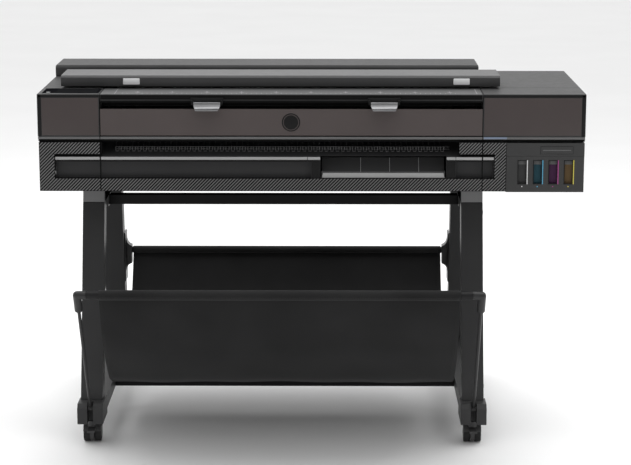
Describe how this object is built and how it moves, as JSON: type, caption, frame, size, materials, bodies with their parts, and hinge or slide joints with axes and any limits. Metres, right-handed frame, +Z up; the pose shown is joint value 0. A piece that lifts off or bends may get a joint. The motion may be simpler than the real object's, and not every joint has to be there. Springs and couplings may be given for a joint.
{
  "type": "large format plotter",
  "caption": "Wide format colour plotter with a sheet-fed scanner on top, on a wheeled A-frame stand with a fabric catch basket.",
  "frame": {"origin": "middle of the object's width and depth, on the floor", "axes": "+X to the right seen from the front, +Y from the front to the rear, +Z up"},
  "size_m": [1.4, 0.9728, 0.956],
  "materials": {
    "post_paint": "satin charcoal powder coat",
    "caster_plastic": "matt black",
    "wheel_tread": "matt black",
    "basket_cloth": "black woven cloth",
    "bar_paint": "satin black",
    "elbow_plastic": "matt black",
    "bar_steel": "brushed",
    "cover_plastic": "fine grained charcoal",
    "dark_plastic": "matt black",
    "roller_rubber": "matt",
    "door_plastic": "warm dark grey",
    "silver_plastic": "silver",
    "black_glass": "polished black",
    "scan_glass": "clear",
    "ink_1": "dark grey",
    "ink_2": "cyan",
    "ink_3": "magenta",
    "ink_4": "yellow"
  },
  "bodies": {
    "base": {"left_top_rail": "post_paint", "right_top_rail": "post_paint", "left_front_post": "post_paint", "right_front_post": "post_paint", "left_rear_post": "post_paint", "right_rear_post": "post_paint", "left_foot": "post_paint", "right_foot": "post_paint", "upper_crossbar": "post_paint", "lower_crossbar": "post_paint", "chassis": "post_paint", "basket_fabric_rear": "basket_cloth", "left_rear_bracket": "elbow_plastic", "right_rear_bracket": "elbow_plastic", "basket_rear_bar": "bar_steel", "carriage_rail": "bar_steel", "left_upper_cover": "cover_plastic", "right_upper_cover": "cover_plastic", "left_lower_cover": "cover_plastic", "lower_front_panel": "cover_plastic", "output_shelf": "cover_plastic", "ink_module_housing": "cover_plastic", "scan_table": "cover_plastic", "top_deck": "cover_plastic", "power_inlet": "dark_plastic", "platen": "dark_plastic", "trim_strip": "silver_plastic", "touch_panel": "black_glass", "scanner_glass": "scan_glass", "ink_tank_1": "ink_1", "ink_tank_2": "ink_2", "ink_tank_3": "ink_3", "ink_tank_4": "ink_4"},
    "scanner_lid": {"scanner_lid": "cover_plastic"},
    "left_latch": {"left_latch": "silver_plastic"},
    "right_latch": {"right_latch": "silver_plastic"},
    "left_document_guide": {"left_document_guide": "silver_plastic"},
    "right_document_guide": {"right_document_guide": "silver_plastic"},
    "front_door": {"front_door": "door_plastic"},
    "power_button": {"power_button": "cover_plastic"},
    "roll_cover": {"roll_cover": "cover_plastic"},
    "roll_spindle": {"roll_spindle": "dark_plastic"},
    "feed_roller": {"feed_roller": "roller_rubber"},
    "print_carriage": {"print_carriage": "dark_plastic"},
    "ink_door": {"ink_door": "cover_plastic"},
    "sheet_tray": {"sheet_tray": "dark_plastic"},
    "basket_frame": {"basket_front_bar": "bar_paint", "left_basket_arm": "elbow_plastic", "right_basket_arm": "elbow_plastic", "basket_fabric_front": "basket_cloth"},
    "front_left_caster_housing": {"front_left_caster_housing": "caster_plastic"},
    "front_left_caster_wheels": {"front_left_caster_wheels": "wheel_tread"},
    "front_right_caster_housing": {"front_right_caster_housing": "caster_plastic"},
    "front_right_caster_wheels": {"front_right_caster_wheels": "wheel_tread"},
    "rear_left_caster_housing": {"rear_left_caster_housing": "caster_plastic"},
    "rear_left_caster_wheels": {"rear_left_caster_wheels": "wheel_tread"},
    "rear_right_caster_housing": {"rear_right_caster_housing": "caster_plastic"},
    "rear_right_caster_wheels": {"rear_right_caster_wheels": "wheel_tread"},
    "front_left_brake_lever": {"front_left_brake_lever": "caster_plastic"},
    "front_right_brake_lever": {"front_right_brake_lever": "caster_plastic"}
  },
  "joints": [
    {"name": "scanner_lid_hinge", "type": "hinge", "parent": "base", "child": "scanner_lid", "pos_m": [0, 0.0264, 0.929], "axis": [-1, 0, 0], "range_deg": [0, 70]},
    {"name": "left_latch_press", "type": "slide", "parent": "scanner_lid", "child": "left_latch", "axis": [0, 1, 0], "range_m": [0, 0.002], "stiffness_N_per_m": 200},
    {"name": "right_latch_press", "type": "slide", "parent": "scanner_lid", "child": "right_latch", "axis": [0, 1, 0], "range_m": [0, 0.002], "stiffness_N_per_m": 200},
    {"name": "left_guide_hinge", "type": "hinge", "parent": "base", "child": "left_document_guide", "pos_m": [-0.266, -0.2286, 0.9], "axis": [-1, 0, 0], "range_deg": [0, 70]},
    {"name": "right_guide_hinge", "type": "hinge", "parent": "base", "child": "right_document_guide", "pos_m": [0.1855, -0.2286, 0.9], "axis": [-1, 0, 0], "range_deg": [0, 70]},
    {"name": "front_door_hinge", "type": "hinge", "parent": "base", "child": "front_door", "pos_m": [-0.051, -0.2186, 0.818], "axis": [1, 0, 0], "range_deg": [0, 90]},
    {"name": "power_button_press", "type": "slide", "parent": "base", "child": "power_button", "axis": [0, 0, -1], "range_m": [0, 0.0012], "stiffness_N_per_m": 200, "springref_m": -0.0004},
    {"name": "roll_cover_hinge", "type": "hinge", "parent": "base", "child": "roll_cover", "pos_m": [-0.124, 0.3054, 0.925], "axis": [-1, 0, 0], "range_deg": [0, 75]},
    {"name": "roll_spindle_spin", "type": "hinge", "parent": "base", "child": "roll_spindle", "pos_m": [-0.051, 0.2264, 0.845], "axis": [1, 0, 0], "continuous": true},
    {"name": "feed_roller_spin", "type": "hinge", "parent": "base", "child": "feed_roller", "pos_m": [-0.051, -0.0086, 0.784], "axis": [1, 0, 0], "continuous": true},
    {"name": "carriage_slide", "type": "slide", "parent": "base", "child": "print_carriage", "axis": [-1, 0, 0], "range_m": [0, 0.98]},
    {"name": "ink_door_hinge", "type": "hinge", "parent": "base", "child": "ink_door", "pos_m": [0.599, -0.22, 0.6712], "axis": [1, 0, 0], "range_deg": [0, 90]},
    {"name": "sheet_tray_slide", "type": "slide", "parent": "base", "child": "sheet_tray", "axis": [0, -1, 0], "range_m": [0, 0.1]},
    {"name": "basket_fold", "type": "hinge", "parent": "base", "child": "basket_frame", "pos_m": [-0.077, -0.2516, 0.1], "axis": [-1, 0, 0], "range_deg": [0, 30]},
    {"name": "front_left_caster_swivel", "type": "hinge", "parent": "base", "child": "front_left_caster_housing", "pos_m": [-0.577, -0.2276, 0.061], "axis": [0, 0, 1], "continuous": true},
    {"name": "front_left_wheel_spin", "type": "hinge", "parent": "front_left_caster_housing", "child": "front_left_caster_wheels", "pos_m": [-0.577, -0.2096, 0.025], "axis": [1, 0, 0], "continuous": true},
    {"name": "front_right_caster_swivel", "type": "hinge", "parent": "base", "child": "front_right_caster_housing", "pos_m": [0.423, -0.2276, 0.061], "axis": [0, 0, 1], "continuous": true},
    {"name": "front_right_wheel_spin", "type": "hinge", "parent": "front_right_caster_housing", "child": "front_right_caster_wheels", "pos_m": [0.423, -0.2096, 0.025], "axis": [1, 0, 0], "continuous": true},
    {"name": "rear_left_caster_swivel", "type": "hinge", "parent": "base", "child": "rear_left_caster_housing", "pos_m": [-0.577, 0.4384, 0.061], "axis": [0, 0, 1], "continuous": true},
    {"name": "rear_left_wheel_spin", "type": "hinge", "parent": "rear_left_caster_housing", "child": "rear_left_caster_wheels", "pos_m": [-0.577, 0.4564, 0.025], "axis": [1, 0, 0], "continuous": true},
    {"name": "rear_right_caster_swivel", "type": "hinge", "parent": "base", "child": "rear_right_caster_housing", "pos_m": [0.423, 0.4384, 0.061], "axis": [0, 0, 1], "continuous": true},
    {"name": "rear_right_wheel_spin", "type": "hinge", "parent": "rear_right_caster_housing", "child": "rear_right_caster_wheels", "pos_m": [0.423, 0.4564, 0.025], "axis": [1, 0, 0], "continuous": true},
    {"name": "front_left_brake_press", "type": "hinge", "parent": "front_left_caster_housing", "child": "front_left_brake_lever", "pos_m": [-0.577, -0.2396, 0.0415], "axis": [1, 0, 0], "range_deg": [0, 12]},
    {"name": "front_right_brake_press", "type": "hinge", "parent": "front_right_caster_housing", "child": "front_right_brake_lever", "pos_m": [0.423, -0.2396, 0.0415], "axis": [1, 0, 0], "range_deg": [0, 12]}
  ]
}
